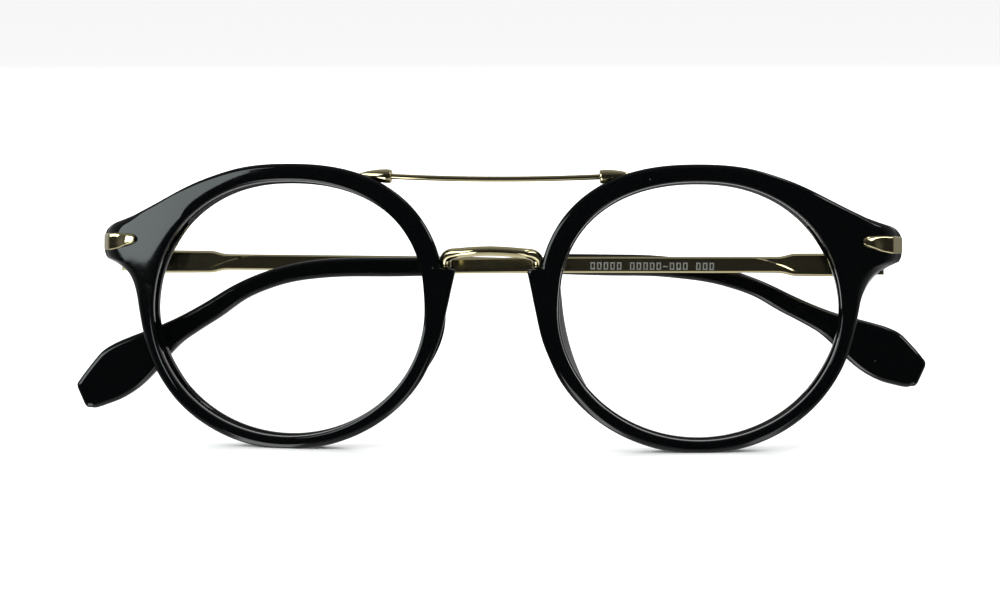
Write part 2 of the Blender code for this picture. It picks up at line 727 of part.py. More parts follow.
# The tip in side view: (along, up) on its upper edge, then on its lower edge, then its half-thickness.
TIP_STATIONS = (
    ((72.0, 1.05), (72.0, -1.95), 1.35), ((82.0, 1.0), (82.0, -2.2), 1.5),
    ((90.0, 0.9), (90.0, -2.25), 1.6), ((96.0, 0.5), (95.0, -2.55), 1.7),
    ((101.0, -0.35), (99.5, -3.1), 1.75), ((105.5, -1.6), (103.5, -4.1), 1.8),
    ((110.0, -3.45), (107.8, -5.8), 1.8), ((114.5, -5.9), (112.0, -8.5), 1.8),
    ((118.3, -7.8), (115.8, -10.7), 1.75), ((121.6, -9.2), (118.9, -12.7), 1.75),
    ((124.8, -10.3), (121.5, -15.2), 1.7), ((127.9, -11.3), (123.7, -17.6), 1.7),
    ((130.6, -12.3), (126.3, -19.9), 1.65), ((132.7, -13.5), (129.2, -21.6), 1.6),
    ((134.4, -15.3), (131.8, -22.5), 1.55), ((135.9, -17.1), (133.7, -23.0), 1.5),
    ((137.1, -18.6), (135.0, -23.0), 1.4),
)
# The tips are bent warm by hand, the left one a little more steeply.
BEND_LEFT = 1.11
BEND_RIGHT = 0.88
BEND_STARTS = -1.0
CORE_LAST = 9


def eight_sided(along, up, half_height, half_thick, chamfer):
    """An octagonal section of the metal temple."""
    h, t, c = half_height, half_thick, chamfer
    shape = [(-t + c, -h), (t - c, -h), (t, -h + c), (t, h - c),
             (t - c, h), (-t + c, h), (-t, h - c), (-t, -h + c)]
    return [(TEMPLE_OFFSET + x, along, up + z) for x, z in shape]


def bent_tip(side):
    """TIP_STATIONS, with every level past the straight stretch lowered or raised to the side's own bend."""
    bend = BEND_LEFT if side > 0 else BEND_RIGHT
    out = []
    for upper, lower, half_thick in TIP_STATIONS:
        drop = min(0, (upper[1] + lower[1]) / 2 - BEND_STARTS) * (bend - 1)
        out.append(((upper[0], upper[1] + drop), (lower[0], lower[1] + drop), half_thick))
    return out


def core_sections(side, grow):
    """The flat core wire that runs inside the tip, with grow for its channel."""
    middles = [((a[0] + b[0]) / 2, (a[1] + b[1]) / 2) for a, b, _ in bent_tip(side)[:CORE_LAST + 1]]
    if grow:
        middles[0] = (middles[0][0] - 0.6, middles[0][1])
        middles[-1] = (middles[-1][0] + 0.25, middles[-1][1] - 0.15)
    else:
        middles[0] = (middles[0][0] - 0.14, middles[0][1])
    out = []
    for k, (along, up) in enumerate(middles):
        ahead = middles[min(k + 1, len(middles) - 1)]
        behind = middles[max(k - 1, 0)]
        slope = math.atan2(ahead[1] - behind[1], ahead[0] - behind[0])
        h, t = CORE_HALF_HEIGHT + grow, CORE_HALF_THICK + grow
        corners = [(-t, -h), (0, -h), (t, -h), (t, 0), (t, h), (0, h), (-t, h), (-t, 0)]
        out.append([(TEMPLE_OFFSET + x, along - z * math.sin(slope), up + z * math.cos(slope))
                    for x, z in corners])
    return out


def to_side(sections, side):
    return [[(side * x, y, z) for x, y, z in section] for section in sections]


def add_temple_shaft(side, word, pivot):
    """The faceted block at the hinge, the slim shaft and the core wire, in one piece of metal."""
    sections = []
    for along, up, half_height, half_thick in TEMPLE_STATIONS:
        sections.append(eight_sided(along, up, half_height, half_thick, min(0.35, half_thick * 0.45)))
    sections += core_sections(side, 0)
    return add_object("temple_shaft_" + word, *loft(to_side(sections, side)), GOLD, pivot)


def tip_section(upper, lower, half_thick, inset):
    """A rounded section between a point of the upper edge and one of the lower edge."""
    top, low = Vector((0, *upper)), Vector((0, *lower))
    span = (top - low).length
    up = (top - low) / span
    half = span / 2 - inset
    thick = half_thick - inset
    r = min(0.9, thick * 0.6, half * 0.6)
    bend = 1 - math.sqrt(0.5)
    shape = [(thick, half - r), (thick - r * bend, half - r * bend), (thick - r, half), (r - thick, half),
             (r * bend - thick, half - r * bend), (-thick, half - r), (-thick, r - half),
             (r * bend - thick, r * bend - half), (r - thick, -half), (thick - r, -half),
             (thick - r * bend, r * bend - half), (thick, r - half)]
    middle = (top + low) / 2 + Vector((TEMPLE_OFFSET, 0, 0))
    return [tuple(middle + Vector((x, 0, 0)) + up * z) for x, z in shape]


def add_temple_tip(side, word, pivot):
    """The acetate tip with its wide end, bored for the core wire."""
    stations = bent_tip(side)
    first, last = stations[0], stations[-1]
    sections = [tip_section(*first, 0.25)]
    sections.append([(x, y + 0.25, z) for x, y, z in tip_section(*first, 0.0)])
    sections += [tip_section(*station, 0.0) for station in stations[1:]]
    sections.append([(x, y + 0.45, z - 0.25) for x, y, z in tip_section(*last, 0.45)])
    tip = add_object("temple_tip_" + word, *loft(to_side(sections, side)), ACETATE, pivot)
    channel = add_cutter("core_channel_" + word, *loft(to_side(core_sections(side, FIT_GAP), side)), pivot)
    boolean(tip, channel, "DIFFERENCE")
    return tip


# ---------------------------------------------------------------- assembly

def cut_rim(rim, side, word, front):
    cutters = [add_cutter("post_hole_" + word, *post(side, POST_R + FIT_GAP, 0.1), front)]
    start = (side * FERRULE_X, FERRULE_Y, FERRULE_V)
    pocket = turned(ferrule_profile(FIT_GAP) + [(6.0, 0.1)], 16, start, ferrule_axis(side))
    cutters.append(add_cutter("ferrule_pocket_" + word, *pocket, front))
    cutters.append(add_cutter("plaque_recess_" + word, *plaque_solid(side, FIT_GAP), front))
    cutters += peg_holes(side, word, front)
    for cutter in cutters:
        boolean(rim, cutter, "DIFFERENCE")


def add_side(side, word, fold, front):
    rim = add_rim(side, word, front)
    cut_rim(rim, side, word, front)
    add_lens(side, word, front)
    add_nose_pad(side, word, front)
    add_ferrule(side, word, front)
    add_plaque(side, word, front)
    bore = bore_cutter(side, word, front)
    add_front_hinge(side, word, front, bore)
    add_hinge_screw(side, word, front)
    pivot = add_empty("temple_pivot_" + word, front)
    pivot.location = Vector((side * HINGE_X, HINGE_Y, HINGE_V)) * MM
    pivot.rotation_euler = (0, 0, side * math.radians(90 + fold))
    add_temple_hinge(side, word, pivot, bore)
    add_temple_shaft(side, word, pivot)
    add_temple_tip(side, word, pivot)


def main():
    clear_scene()
    front = add_empty("front")
    front.rotation_euler = (-LEAN, 0, 0)
    front.location = (0, -ORIGIN_BACK * MM, LIFT * MM)
    add_bridge(front)
    add_brow_bar(front)
    add_side(1, "left", FOLD_INNER, front)
    add_side(-1, "right", FOLD_OUTER, front)


main()
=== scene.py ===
"""Round-eye spectacles, folded on a pale floor: black acetate front and tips, pale gold metalwork, clear
lenses.

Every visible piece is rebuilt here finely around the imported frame, apart from the hinge leaves and screws,
which stay and get better finishes. Shapes are worked out in the front's own axes, in millimetres: x to the
wearer's left, y from the front of the lenses towards the wearer, v up from the lens centres. placed() turns
them into the frame's metres, with the lean and the position of the front read from the joints of the record.
"""

import json
import math

import bmesh
import bpy
from mathutils import Matrix, Quaternion, Vector


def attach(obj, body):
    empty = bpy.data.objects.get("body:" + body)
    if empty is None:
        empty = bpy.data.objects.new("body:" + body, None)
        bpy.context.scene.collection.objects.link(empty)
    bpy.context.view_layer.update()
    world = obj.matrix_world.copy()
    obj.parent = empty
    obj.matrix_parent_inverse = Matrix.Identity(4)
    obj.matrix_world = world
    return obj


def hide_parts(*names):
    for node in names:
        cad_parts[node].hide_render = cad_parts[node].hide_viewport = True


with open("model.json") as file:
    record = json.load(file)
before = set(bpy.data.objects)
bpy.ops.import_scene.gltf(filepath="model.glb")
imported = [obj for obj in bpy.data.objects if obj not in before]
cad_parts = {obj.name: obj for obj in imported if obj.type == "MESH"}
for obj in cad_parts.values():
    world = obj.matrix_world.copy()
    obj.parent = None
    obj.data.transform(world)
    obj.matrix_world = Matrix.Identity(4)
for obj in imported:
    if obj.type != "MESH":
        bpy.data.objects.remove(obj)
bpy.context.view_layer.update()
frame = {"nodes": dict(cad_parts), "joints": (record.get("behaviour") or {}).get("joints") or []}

MM = 0.001
SIDES = ((1, "left"), (-1, "right"))

# The hinge axis in the front's own axes, in millimetres, and the front's own axes in the frame.
HINGE = Vector((64.2, 15.9, 7.5))
JOINTS = {joint["name"]: joint for joint in frame["joints"]}
UP = -Vector(JOINTS["temple_left_hinge"]["axis"]).normalized()
BACK = UP.cross(Vector((1, 0, 0))).normalized()
TURN = Matrix(((1, BACK.x, UP.x), (0, BACK.y, UP.y), (0, BACK.z, UP.z)))
ORIGIN = Vector(JOINTS["temple_left_hinge"]["pos_m"]) - TURN @ HINGE * MM


def placed(point):
    """A point of the front's own axes, in the frame's metres."""
    return ORIGIN + TURN @ Vector(point) * MM


def folded(side, word):
    """A function that places a point of a temple's own axes: x outwards, y along the temple, z up."""
    turn = Quaternion((0, 0, 1), side * math.radians(JOINTS[f"temple_{word}_hinge"]["range_deg"][1]))
    pivot = Vector((side * HINGE.x, HINGE.y, HINGE.z))
    return lambda p: placed(pivot + turn @ Vector((side * p[0], p[1], p[2])))


# ---------------------------------------------------------------- camera, floor and light

def add_camera():
    data = bpy.data.cameras.new("camera")
    camera = bpy.data.objects.new("camera", data)
    bpy.context.scene.collection.objects.link(camera)
    data.sensor_width = 36.0
    data.lens = 96.98
    data.clip_start, data.clip_end = 0.01, 100
    yaw, pitch, roll = math.radians(5.036), math.radians(7.261), math.radians(-0.276)
    turn = Matrix.Rotation(yaw, 3, "Z") @ Matrix.Rotation(math.pi / 2 - pitch, 3, "X")
    camera.rotation_euler = (turn @ Matrix.Rotation(roll, 3, "Z")).to_euler()
    camera.location = (0.04033, -0.45095, 0.08153)
    bpy.context.scene.camera = camera


add_camera()
bpy.context.scene.view_settings.view_transform = "Standard"


def node(tree, kind, inputs=None, **settings):
    made = tree.nodes.new(kind)
    for key, value in settings.items():
        setattr(made, key, value)
    for key, value in (inputs or {}).items():
        if isinstance(value, bpy.types.NodeSocket):
            tree.links.new(value, made.inputs[key])
        else:
            made.inputs[key].default_value = value
    return made


def maths(tree, operation, a, b):
    return node(tree, "ShaderNodeMath", {0: a, 1: b}, operation=operation).outputs[0]


def ramp(tree, value, low, high, out_low=0.0, out_high=1.0):
    """value mapped smoothly from low..high to out_low..out_high."""
    ends = {"Value": value, "From Min": low, "From Max": high, "To Min": out_low, "To Max": out_high}
    return node(tree, "ShaderNodeMapRange", ends, interpolation_type="SMOOTHSTEP").outputs["Result"]


def product(tree, a, b):
    return maths(tree, "MULTIPLY", a, b)


def light_world():
    """White to the camera and on the floor. Reflections see a dim room instead.

    It is brighter behind, straight behind, above and below, and has two bright bands low in front.
    """
    world = bpy.data.worlds.new("studio")
    bpy.context.scene.world = world
    world.use_nodes = True
    tree = world.node_tree
    background = tree.nodes["Background"]
    direction = node(tree, "ShaderNodeTexCoord").outputs["Generated"]
    axes = node(tree, "ShaderNodeSeparateXYZ", {0: direction}).outputs
    behind = ramp(tree, axes["Y"], -0.35, 0.5, 0.0, 0.20)
    straight = ramp(tree, axes["Y"], 0.75, 0.97, 0.0, 0.38)
    above = ramp(tree, axes["Z"], 0.45, 0.95, 0.0, 0.09)
    down = product(tree, axes["Z"], -1)
    below = ramp(tree, down, 0.4, 0.8, 0.0, 0.5)
    x = axes["X"]
    left = product(tree, ramp(tree, x, -0.60, -0.50), ramp(tree, x, -0.31, -0.25, 3.0, 0.0))
    right = product(tree, ramp(tree, x, 0.36, 0.42, 0.0, 1.4), ramp(tree, x, 0.50, 0.60, 1, 0))
    low = product(tree, ramp(tree, down, 0.28, 0.32), ramp(tree, down, 0.84, 0.88, 1, 0))
    low = product(tree, low, ramp(tree, axes["Y"], -0.1, 0.0, 1, 0))
    sweep = product(tree, maths(tree, "ADD", left, right), low)
    room = 0.018
    for part in (behind, straight, above, below, sweep):
        room = maths(tree, "ADD", part, room)
    glossy = node(tree, "ShaderNodeLightPath").outputs["Is Glossy Ray"]
    mixed = node(tree, "ShaderNodeMix", {"Factor": glossy, "A": 1.0, "B": room}).outputs["Result"]
    tree.links.new(mixed, background.inputs["Strength"])
    background.inputs["Color"].default_value = (1, 1, 1, 1)


def add_softbox(name, towards, distance, size, watts, colour=(1, 1, 1), in_reflections=True):
    """An area light in that direction from the spectacles, facing them. The camera doesn't see it."""
    data = bpy.data.lights.new(name, "AREA")
    data.shape = "RECTANGLE"
    data.size, data.size_y = size
    data.energy = watts
    data.color = colour
    lamp = bpy.data.objects.new(name, data)
    bpy.context.scene.collection.objects.link(lamp)
    away = Vector(towards).normalized()
    lamp.location = Vector((0, 0, 0.025)) + away * distance
    lamp.rotation_euler = away.to_track_quat("Z", "Y").to_euler()
    lamp.visible_camera = False
    lamp.visible_transmission = False
    lamp.visible_glossy = in_reflections


def add_floor():
    mesh = bpy.data.meshes.new("floor")
    reach = 12.0
    corners = [(-reach, -reach, 0), (reach, -reach, 0), (reach, reach, 0), (-reach, reach, 0)]
    mesh.from_pydata(corners, [], [(0, 1, 2, 3)])
    floor = bpy.data.objects.new("floor", mesh)
    bpy.context.scene.collection.objects.link(floor)
    paper = bpy.data.materials.new("white_paper")
    paper.use_nodes = True
    shader = paper.node_tree.nodes["Principled BSDF"]
    shader.inputs["Base Color"].default_value = (0.93, 0.93, 0.93, 1)
    shader.inputs["Roughness"].default_value = 1.0
    shader.inputs["Specular IOR Level"].default_value = 0.0
    mesh.materials.append(paper)
    floor.visible_glossy = False


light_world()
add_floor()
add_softbox("softbox_left", (-0.86, -0.535, 0.395), 0.9, (0.82, 0.5), 4.5, (0.90, 1.0, 0.99))
add_softbox("softbox_high", (0.45, 0.15, 0.9), 1.1, (0.6, 0.1), 0.5)
add_softbox("softbox_right", (0.78, -0.14, 0.61), 1.0, (0.45, 0.22), 1.1)
add_softbox("softbox_back", (0.0, 0.75, 0.65), 1.2, (1.4, 0.9), 13.0, in_reflections=False)


# ---------------------------------------------------------------- finishes

def new_material(name):
    made = bpy.data.materials.new(name)
    made.use_nodes = True
    tree = made.node_tree
    return made, tree, tree.nodes["Principled BSDF"]


def texture(tree, kind, scale, stretch=(1, 1, 1), **settings):
    """A texture in the object's own metres, which stretch squeezes along each axis."""
    place = node(tree, "ShaderNodeTexCoord").outputs["Object"]
    moved = node(tree, "ShaderNodeMapping", {"Vector": place, "Scale": stretch}).outputs["Vector"]
    return node(tree, kind, {"Vector": moved, "Scale": scale}, **settings)


def bump(tree, shader, height, distance, strength=1.0):
    made = node(tree, "ShaderNodeBump", {"Height": height, "Distance": distance, "Strength": strength})
    tree.links.new(made.outputs["Normal"], shader.inputs["Normal"])


def acetate():
    """Polished black acetate: a slightly wavy gloss with faint hairlines and a few specks of dust."""
    made, tree, shader = new_material("black_acetate")
    waves = texture(tree, "ShaderNodeTexNoise", 260.0)
    hairlines = texture(tree, "ShaderNodeTexNoise", 900.0, (1, 1, 14))
    specks = texture(tree, "ShaderNodeTexVoronoi", 420.0, distance="EUCLIDEAN")
    dust = maths(tree, "LESS_THAN", specks.outputs["Distance"], 0.045)
    lottery = node(tree, "ShaderNodeSeparateColor", {0: specks.outputs["Color"]}).outputs[0]
    dusty = product(tree, dust, maths(tree, "GREATER_THAN", lottery, 0.93))
    colour = node(tree, "ShaderNodeMix", {"Factor": dusty}, data_type="RGBA")
    colour.inputs["A"].default_value = (0.0010, 0.0013, 0.0015, 1)
    colour.inputs["B"].default_value = (0.06, 0.06, 0.055, 1)
    tree.links.new(colour.outputs["Result"], shader.inputs["Base Color"])
    rough = ramp(tree, hairlines.outputs["Fac"], 0.35, 0.75, 0.045, 0.10)
    tree.links.new(maths(tree, "ADD", rough, product(tree, dusty, 0.4)), shader.inputs["Roughness"])
    shader.inputs["IOR"].default_value = 1.49
    bump(tree, shader, waves.outputs["Fac"], 0.000012, 0.5)
    return made


def gold(name, colour, rough, grain, grain_scale, stretch):
    """Plated metal: a tone that drifts a little, fine grain along the piece and a shallow unevenness."""
    made, tree, shader = new_material(name)
    drift = texture(tree, "ShaderNodeTexNoise", 150.0)
    lines = texture(tree, "ShaderNodeTexNoise", grain_scale, stretch)
    tone = node(tree, "ShaderNodeMix", {"Factor": drift.outputs["Fac"]}, data_type="RGBA")
    tone.inputs["A"].default_value = (*[c * 0.93 for c in colour], 1)
    tone.inputs["B"].default_value = (*[min(1, c * 1.05) for c in colour], 1)
    tree.links.new(tone.outputs["Result"], shader.inputs["Base Color"])
    shader.inputs["Metallic"].default_value = 1.0
    grained = ramp(tree, lines.outputs["Fac"], 0.3, 0.7, rough, rough + grain)
    tree.links.new(grained, shader.inputs["Roughness"])
    bump(tree, shader, lines.outputs["Fac"], 0.000004, 0.4)
    return made


def lens_glass():
    """Clear lens plastic: see-through, with a reflection that grows towards a glancing angle."""
    made, tree, shader = new_material("clear_lens")
    shader.inputs["Base Color"].default_value = (0.95, 0.98, 1.0, 1)
    shader.inputs["Metallic"].default_value = 1.0
    smears = texture(tree, "ShaderNodeTexNoise", 60.0)
    smeared = ramp(tree, smears.outputs["Fac"], 0.45, 0.8, 0.01, 0.05)
    tree.links.new(smeared, shader.inputs["Roughness"])
    share = node(tree, "ShaderNodeFresnel")
    share.inputs["IOR"].default_value = 1.045
    clear = node(tree, "ShaderNodeBsdfTransparent")
    parts = {0: share.outputs[0], 1: clear.outputs[0], 2: shader.outputs[0]}
    mixed = node(tree, "ShaderNodeMixShader", parts)
    tree.links.new(mixed.outputs[0], tree.nodes["Material Output"].inputs["Surface"])
    return made


def print_paint():
    made, tree, shader = new_material("pad_print")
    wear = texture(tree, "ShaderNodeTexNoise", 1800.0)
    tone = node(tree, "ShaderNodeMix", {"Factor": wear.outputs["Fac"]}, data_type="RGBA")
    tone.inputs["A"].default_value = (0.13, 0.13, 0.115, 1)
    tone.inputs["B"].default_value = (0.22, 0.22, 0.20, 1)
    tree.links.new(tone.outputs["Result"], shader.inputs["Base Color"])
    shader.inputs["Roughness"].default_value = 0.55
    return made


GOLD_COLOUR = (0.78, 0.70, 0.41)
ACETATE = acetate()
GOLD = gold("pale_gold", GOLD_COLOUR, 0.05, 0.05, 700.0, (1, 1, 1))
SHAFT_GOLD = gold("pale_gold_brushed", GOLD_COLOUR, 0.08, 0.07, 900.0, (0.06, 1, 1))
HINGE_METAL = gold("hinge_metal", (0.62, 0.56, 0.36), 0.22, 0.15, 1500.0, (1, 1, 1))
SCREW_METAL = gold("screw_metal", (0.60, 0.55, 0.38), 0.20, 0.12, 2500.0, (1, 1, 1))
LENS = lens_glass()
PRINT = print_paint()


# ---------------------------------------------------------------- mesh helpers

def add_piece(name, points, faces, finish, body, stands_for=(), sharp=40):
    """A smooth-shaded closed mesh from points in the frame's metres, riding on a body."""
    mesh = bpy.data.meshes.new(name)
    mesh.from_pydata([tuple(p) for p in points], [], faces)
    shaped = bmesh.new()
    shaped.from_mesh(mesh)
    bmesh.ops.recalc_face_normals(shaped, faces=shaped.faces)
    if shaped.calc_volume(signed=True) < 0:
        bmesh.ops.reverse_faces(shaped, faces=shaped.faces)
    shaped.to_mesh(mesh)
    shaped.free()
    piece = bpy.data.objects.new(name, mesh)
    bpy.context.scene.collection.objects.link(piece)
    mesh.materials.append(finish)
    mesh.shade_smooth()
    mesh.set_sharp_from_angle(angle=math.radians(sharp))
    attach(piece, body)
    if stands_for:
        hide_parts(*stands_for)
    return piece


def loft(sections, closed=False):
    """Points and faces of a skin over equally long sections, capped unless it closes on itself."""
    count = len(sections[0])
    points = [p for section in sections for p in section]
    faces = []
    for i in range(len(sections) if closed else len(sections) - 1):
        j = (i + 1) % len(sections)
        for k in range(count):
            m = (k + 1) % count
            faces.append((i * count + k, i * count + m, j * count + m, j * count + k))
    if not closed:
        faces.append(tuple(range(count))[::-1])
        faces.append(tuple(range((len(sections) - 1) * count, len(sections) * count)))
    return points, faces


def smooth_through(controls, steps):
    """Points on a Catmull-Rom curve through the controls, steps to each stretch, as tuples of any length."""
    def step(p, q, sign):
        return tuple(2 * a - b for a, b in zip(p, q)) if sign else None

    knots = [step(controls[0], controls[1], 1), *controls, step(controls[-1], controls[-2], 1)]
    out = []
    for a, b, c, d in zip(knots, knots[1:], knots[2:], knots[3:]):
        for k in range(steps):
            t = k / steps
            out.append(tuple(0.5 * (2 * q + (r - p) * t + (2 * p - 5 * q + 4 * r - s) * t * t
                                    + (3 * q - p - 3 * r + s) * t ** 3) for p, q, r, s in zip(a, b, c, d)))
    out.append(tuple(controls[-1]))
    return out


def swept(path, halves, sides):
    """A tube along path; halves gives its half-widths across the path and along the depth."""
    path = [Vector(p) for p in path]
    sections = []
    for i, point in enumerate(path):
        along = (path[min(i + 1, len(path) - 1)] - path[max(i - 1, 0)]).normalized()
        depth = Vector((0, 1, 0))
        depth = (depth - along * depth.dot(along)).normalized()
        across = along.cross(depth)
        half_across, half_depth = halves[i]
        section = []
        for k in range(sides):
            a = 2 * math.pi * k / sides
            section.append(placed(point + across * (math.cos(a) * half_across)
                                  + depth * (math.sin(a) * half_depth)))
        sections.append(section)
    return loft(sections)


def turned(profile, sides, start, axis):
    """A body of revolution; profile gives (distance along the axis, radius)."""
    axis = Vector(axis).normalized()
    across = axis.orthogonal().normalized()
    other = axis.cross(across)
    spokes = []
    for k in range(sides):
        a = 2 * math.pi * k / sides
        spokes.append(across * math.cos(a) + other * math.sin(a))
    sections = []
    for along, radius in profile:
        centre = Vector(start) + axis * along
        sections.append([placed(centre + spoke * radius) for spoke in spokes])
    return loft(sections)


# ---------------------------------------------------------------- acetate front

LENS_CENTRE = 34.5
APERTURE_A = 23.5
APERTURE_B = 21.5
THICK = 4.0
WRAP = math.tan(math.radians(6.0))
BASE_RADIUS = 150.0
SEAT_Y = 14.0
LUG_FLARE = 1.7
LUG = ((10.6, 23.15), (15.2, 21.6), (19.2, 19.8), (22.7, 18.0), (26.2, 16.25), (29.0, 15.1), (31.0, 14.3),
       (32.0, 12.9), (32.2, 11.0), (32.05, 9.3), (31.45, 8.3), (30.35, 7.9), (29.25, 7.1), (28.1, 5.8),
       (27.25, 4.0), (26.45, 1.2), (25.9, -2.0), (25.25, -5.0))
FLANGE = ((-26.15, 7.6), (-26.25, 7.05), (-26.6, 6.93), (-27.2, 6.9), (-28.1, 6.87), (-28.55, 6.5),
          (-28.35, 5.4), (-27.15, 0.0), (-26.0, -5.0), (-23.9, -10.0))


def eased(value):
    t = min(1, max(0, value))
    return t * t * (3 - 2 * t)


def front_y(x, v):
    """Depth of the polished front surface: a base curve, wrapped, with the lugs swept back."""
    u = abs(x) - LENS_CENTRE
    depth = WRAP * u + (u * u + v * v) / (2 * BASE_RADIUS)
    beyond = u - 18.0
    return depth + (0.27 * beyond * beyond / (beyond + 4.0) if beyond > 0 else 0)


def front_slope(x, v):
    return (front_y(x + 0.1, v) - front_y(x - 0.1, v)) / 0.2


def inward(x, v, depth):
    """The point at a depth under (x, v) of the front surface, as the rim's and the lens's walls run."""
    u = x - LENS_CENTRE
    lean_u = -(WRAP + u / BASE_RADIUS) * (1 - eased((u - 20) / 8))
    flare = LUG_FLARE / THICK * eased((u - 25.5) / 5)
    deep = depth * math.hypot(1, front_slope(x, v))
    return x + depth * (lean_u + flare), min(front_y(x, v) + deep, SEAT_Y), v - depth * v / BASE_RADIUS


def back_y(x, v):
    at_x, at_v = x, v
    for _ in range(4):
        back = inward(at_x, at_v, THICK)
        at_x += x - back[0]
        at_v += v - back[2]
    return inward(at_x, at_v, THICK)[1]


def superellipse_radius(angle, a, b, power):
    spread = (abs(math.cos(angle)) / a) ** power + (abs(math.sin(angle)) / b) ** power
    return spread ** (-1 / power)


def aperture_radius(angle):
    """The lens opening: an ellipse below and a little squarer above, most of all towards the nose."""
    squarer = (0.215 - 0.12 * math.cos(angle)) * eased(math.sin(angle) * 4)
    return superellipse_radius(angle, APERTURE_A, APERTURE_B, 2.0 + squarer)


def polar(points):
    return [(math.atan2(v, u) % (2 * math.pi), math.hypot(u, v)) for u, v in points]


LUG_OUTLINE = sorted((a - 2 * math.pi if a > math.pi else a, r) for a, r in polar(smooth_through(LUG, 16)))
FLANGE_OUTLINE = sorted(polar(smooth_through(FLANGE, 16)))


def along_outline(outline, angle):
    for (a, r), (b, s) in zip(outline, outline[1:]):
        if a <= angle <= b:
            return r + (s - r) * (angle - a) / max(b - a, 1e-9)
    return None


def plain_radius(angle):
    above = math.sin(angle) > 0
    nasal = math.cos(angle) < 0
    half_width = (26.9 if above else 26.45) if nasal else 25.8
    return superellipse_radius(angle, half_width, 24.4 if above else 23.7, 2.4 if above else 2.0)


def rim_radius(angle):
    """Outer radius of the rim at an angle from the lens centre, 0 towards the temple."""
    signed = angle - 2 * math.pi if angle > math.pi else angle
    return along_outline(LUG_OUTLINE, signed) or along_outline(FLANGE_OUTLINE, angle) or plain_radius(angle)


def rim_angles():
    stops = [(-6, 3, 1.5), (3, 30, 0.5), (30, 160, 1.5), (160, 171, 0.25), (171, 354, 1.5)]
    angles = []
    for start, end, step in stops:
        count = round((end - start) / step)
        angles += [start + (end - start) * k / count for k in range(count)]
    return [math.radians(a) % (2 * math.pi) for a in angles]


def blend_radii(angles):
    """Outer radii with the small kinks where two outlines meet smoothed out, but not the nose ledge."""
    radii = [rim_radius(a) for a in angles]
    for _ in range(6):
        smoothed = radii[:]
        for i, a in enumerate(angles):
            degrees = math.degrees(a)
            if 155 < degrees < 175 or 3 < degrees < 30:
                continue
            ahead = radii[(i + 1) % len(radii)]
            smoothed[i] = 0.25 * radii[i - 1] + 0.5 * radii[i] + 0.25 * ahead
        radii = smoothed
    return radii


LENS_GROOVE = [(0, 2.8), (0.65, 2.0), (0, 1.2)]


def rim_section(angle, width):
    """One section of the rim as (distance from the opening, depth below the front), starting in front."""
    degrees = math.degrees(angle if angle < math.pi else angle - 2 * math.pi)
    end = eased((degrees - 2) / 8) * (1 - eased((degrees - 24) / 8))
    low = eased(-2.5 * math.sin(angle))
    across = min(0.8 + 1.3 * end + 0.5 * low, width * (0.35 + 0.2 * low))
    deep = 0.7 + 0.7 * end
    back = min(0.6, width * 0.25)
    inner = 0.42
    roll = min(2.4, width * 0.55)

    def quarter(degrees_list):
        """(1 - sin, 1 - cos) of each angle of a rounded corner."""
        turns = [math.radians(t) for t in degrees_list]
        return [(1 - math.sin(t), 1 - math.cos(t)) for t in turns]

    section = [(roll * c, inner * s) for s, c in quarter((0, 5, 10, 16, 24, 34, 46, 60, 75, 90))]
    for k in range(1, 6):
        section.append((roll + (width - across - roll) * k / 6, 0.0))
    section += [(width - across * s, deep * c) for s, c in quarter((0, 15, 30, 45, 60, 75, 90))]
    section.append((width, (deep + THICK - back) / 2))
    section += [(width - back * c, THICK - back * s) for s, c in quarter((0, 22, 45, 67, 90))]
    for k in range(1, 6):
        section.append((width - back - (width - back - inner) * k / 6, THICK))
    section += [(inner * s, THICK - inner * c) for s, c in quarter((0, 22, 45, 67, 90))]
    return section + LENS_GROOVE


def rim_point(side, angle, distance, depth):
    radius = aperture_radius(angle) + distance
    x = LENS_CENTRE + radius * math.cos(angle)
    v = radius * math.sin(angle)
    seat = inward(x, v, THICK)[1]
    in_x, y, in_v = inward(x, v, depth)
    from_back = THICK - depth
    if from_back < 1.0:
        y = min(y, seat - from_back)
    return Vector((side * in_x, y, in_v))


def grounded(point):
    """The rims are flat where they stand: nothing goes below the floor."""
    world = placed(point)
    return Vector((world.x, world.y, max(world.z, 0.0)))


def add_rim(side, word):
    angles = rim_angles()
    radii = blend_radii(angles)
    sections = []
    for angle, radius in zip(angles, radii):
        section = rim_section(angle, radius - aperture_radius(angle))
        sections.append([grounded(rim_point(side, angle, *p)) for p in section])
    points, faces = loft(sections, closed=True)
    add_piece("rim_front_" + word, points, faces, ACETATE, "front", ["rim_" + word])


def add_lens(side, word):
    """A meniscus lens with its bevel in the groove."""
    sides, rings = 120, 14
    front, bevel, back = 1.3, 2.0, 2.7
    inset, proud = -0.06, 0.4

    def ring(share, distance, depth):
        out = []
        for k in range(sides):
            angle = 2 * math.pi * k / sides
            radius = (aperture_radius(angle) + distance) * share
            x, y, v = inward(LENS_CENTRE + radius * math.cos(angle), radius * math.sin(angle), depth)
            out.append(placed((side * x, y, v)))
        return out

    shares = [(k + 1) / rings for k in range(rings)]
    sections = [ring(s, inset, front) for s in shares] + [ring(1, proud, bevel)]
    sections += [ring(s, inset, back) for s in shares[::-1]]
    points, faces = loft(sections)
    faces = faces[:-2]
    for base, depth in ((0, front), ((len(sections) - 1) * sides, back)):
        x, y, v = inward(LENS_CENTRE, 0, depth)
        points.append(placed((side * x, y, v)))
        faces += [(base + k, base + (k + 1) % sides, len(points) - 1) for k in range(sides)]
    lens = add_piece("lens_clear_" + word, points, faces, LENS, "front", ["lens_" + word],
                     sharp=30)
    lens.visible_shadow = False


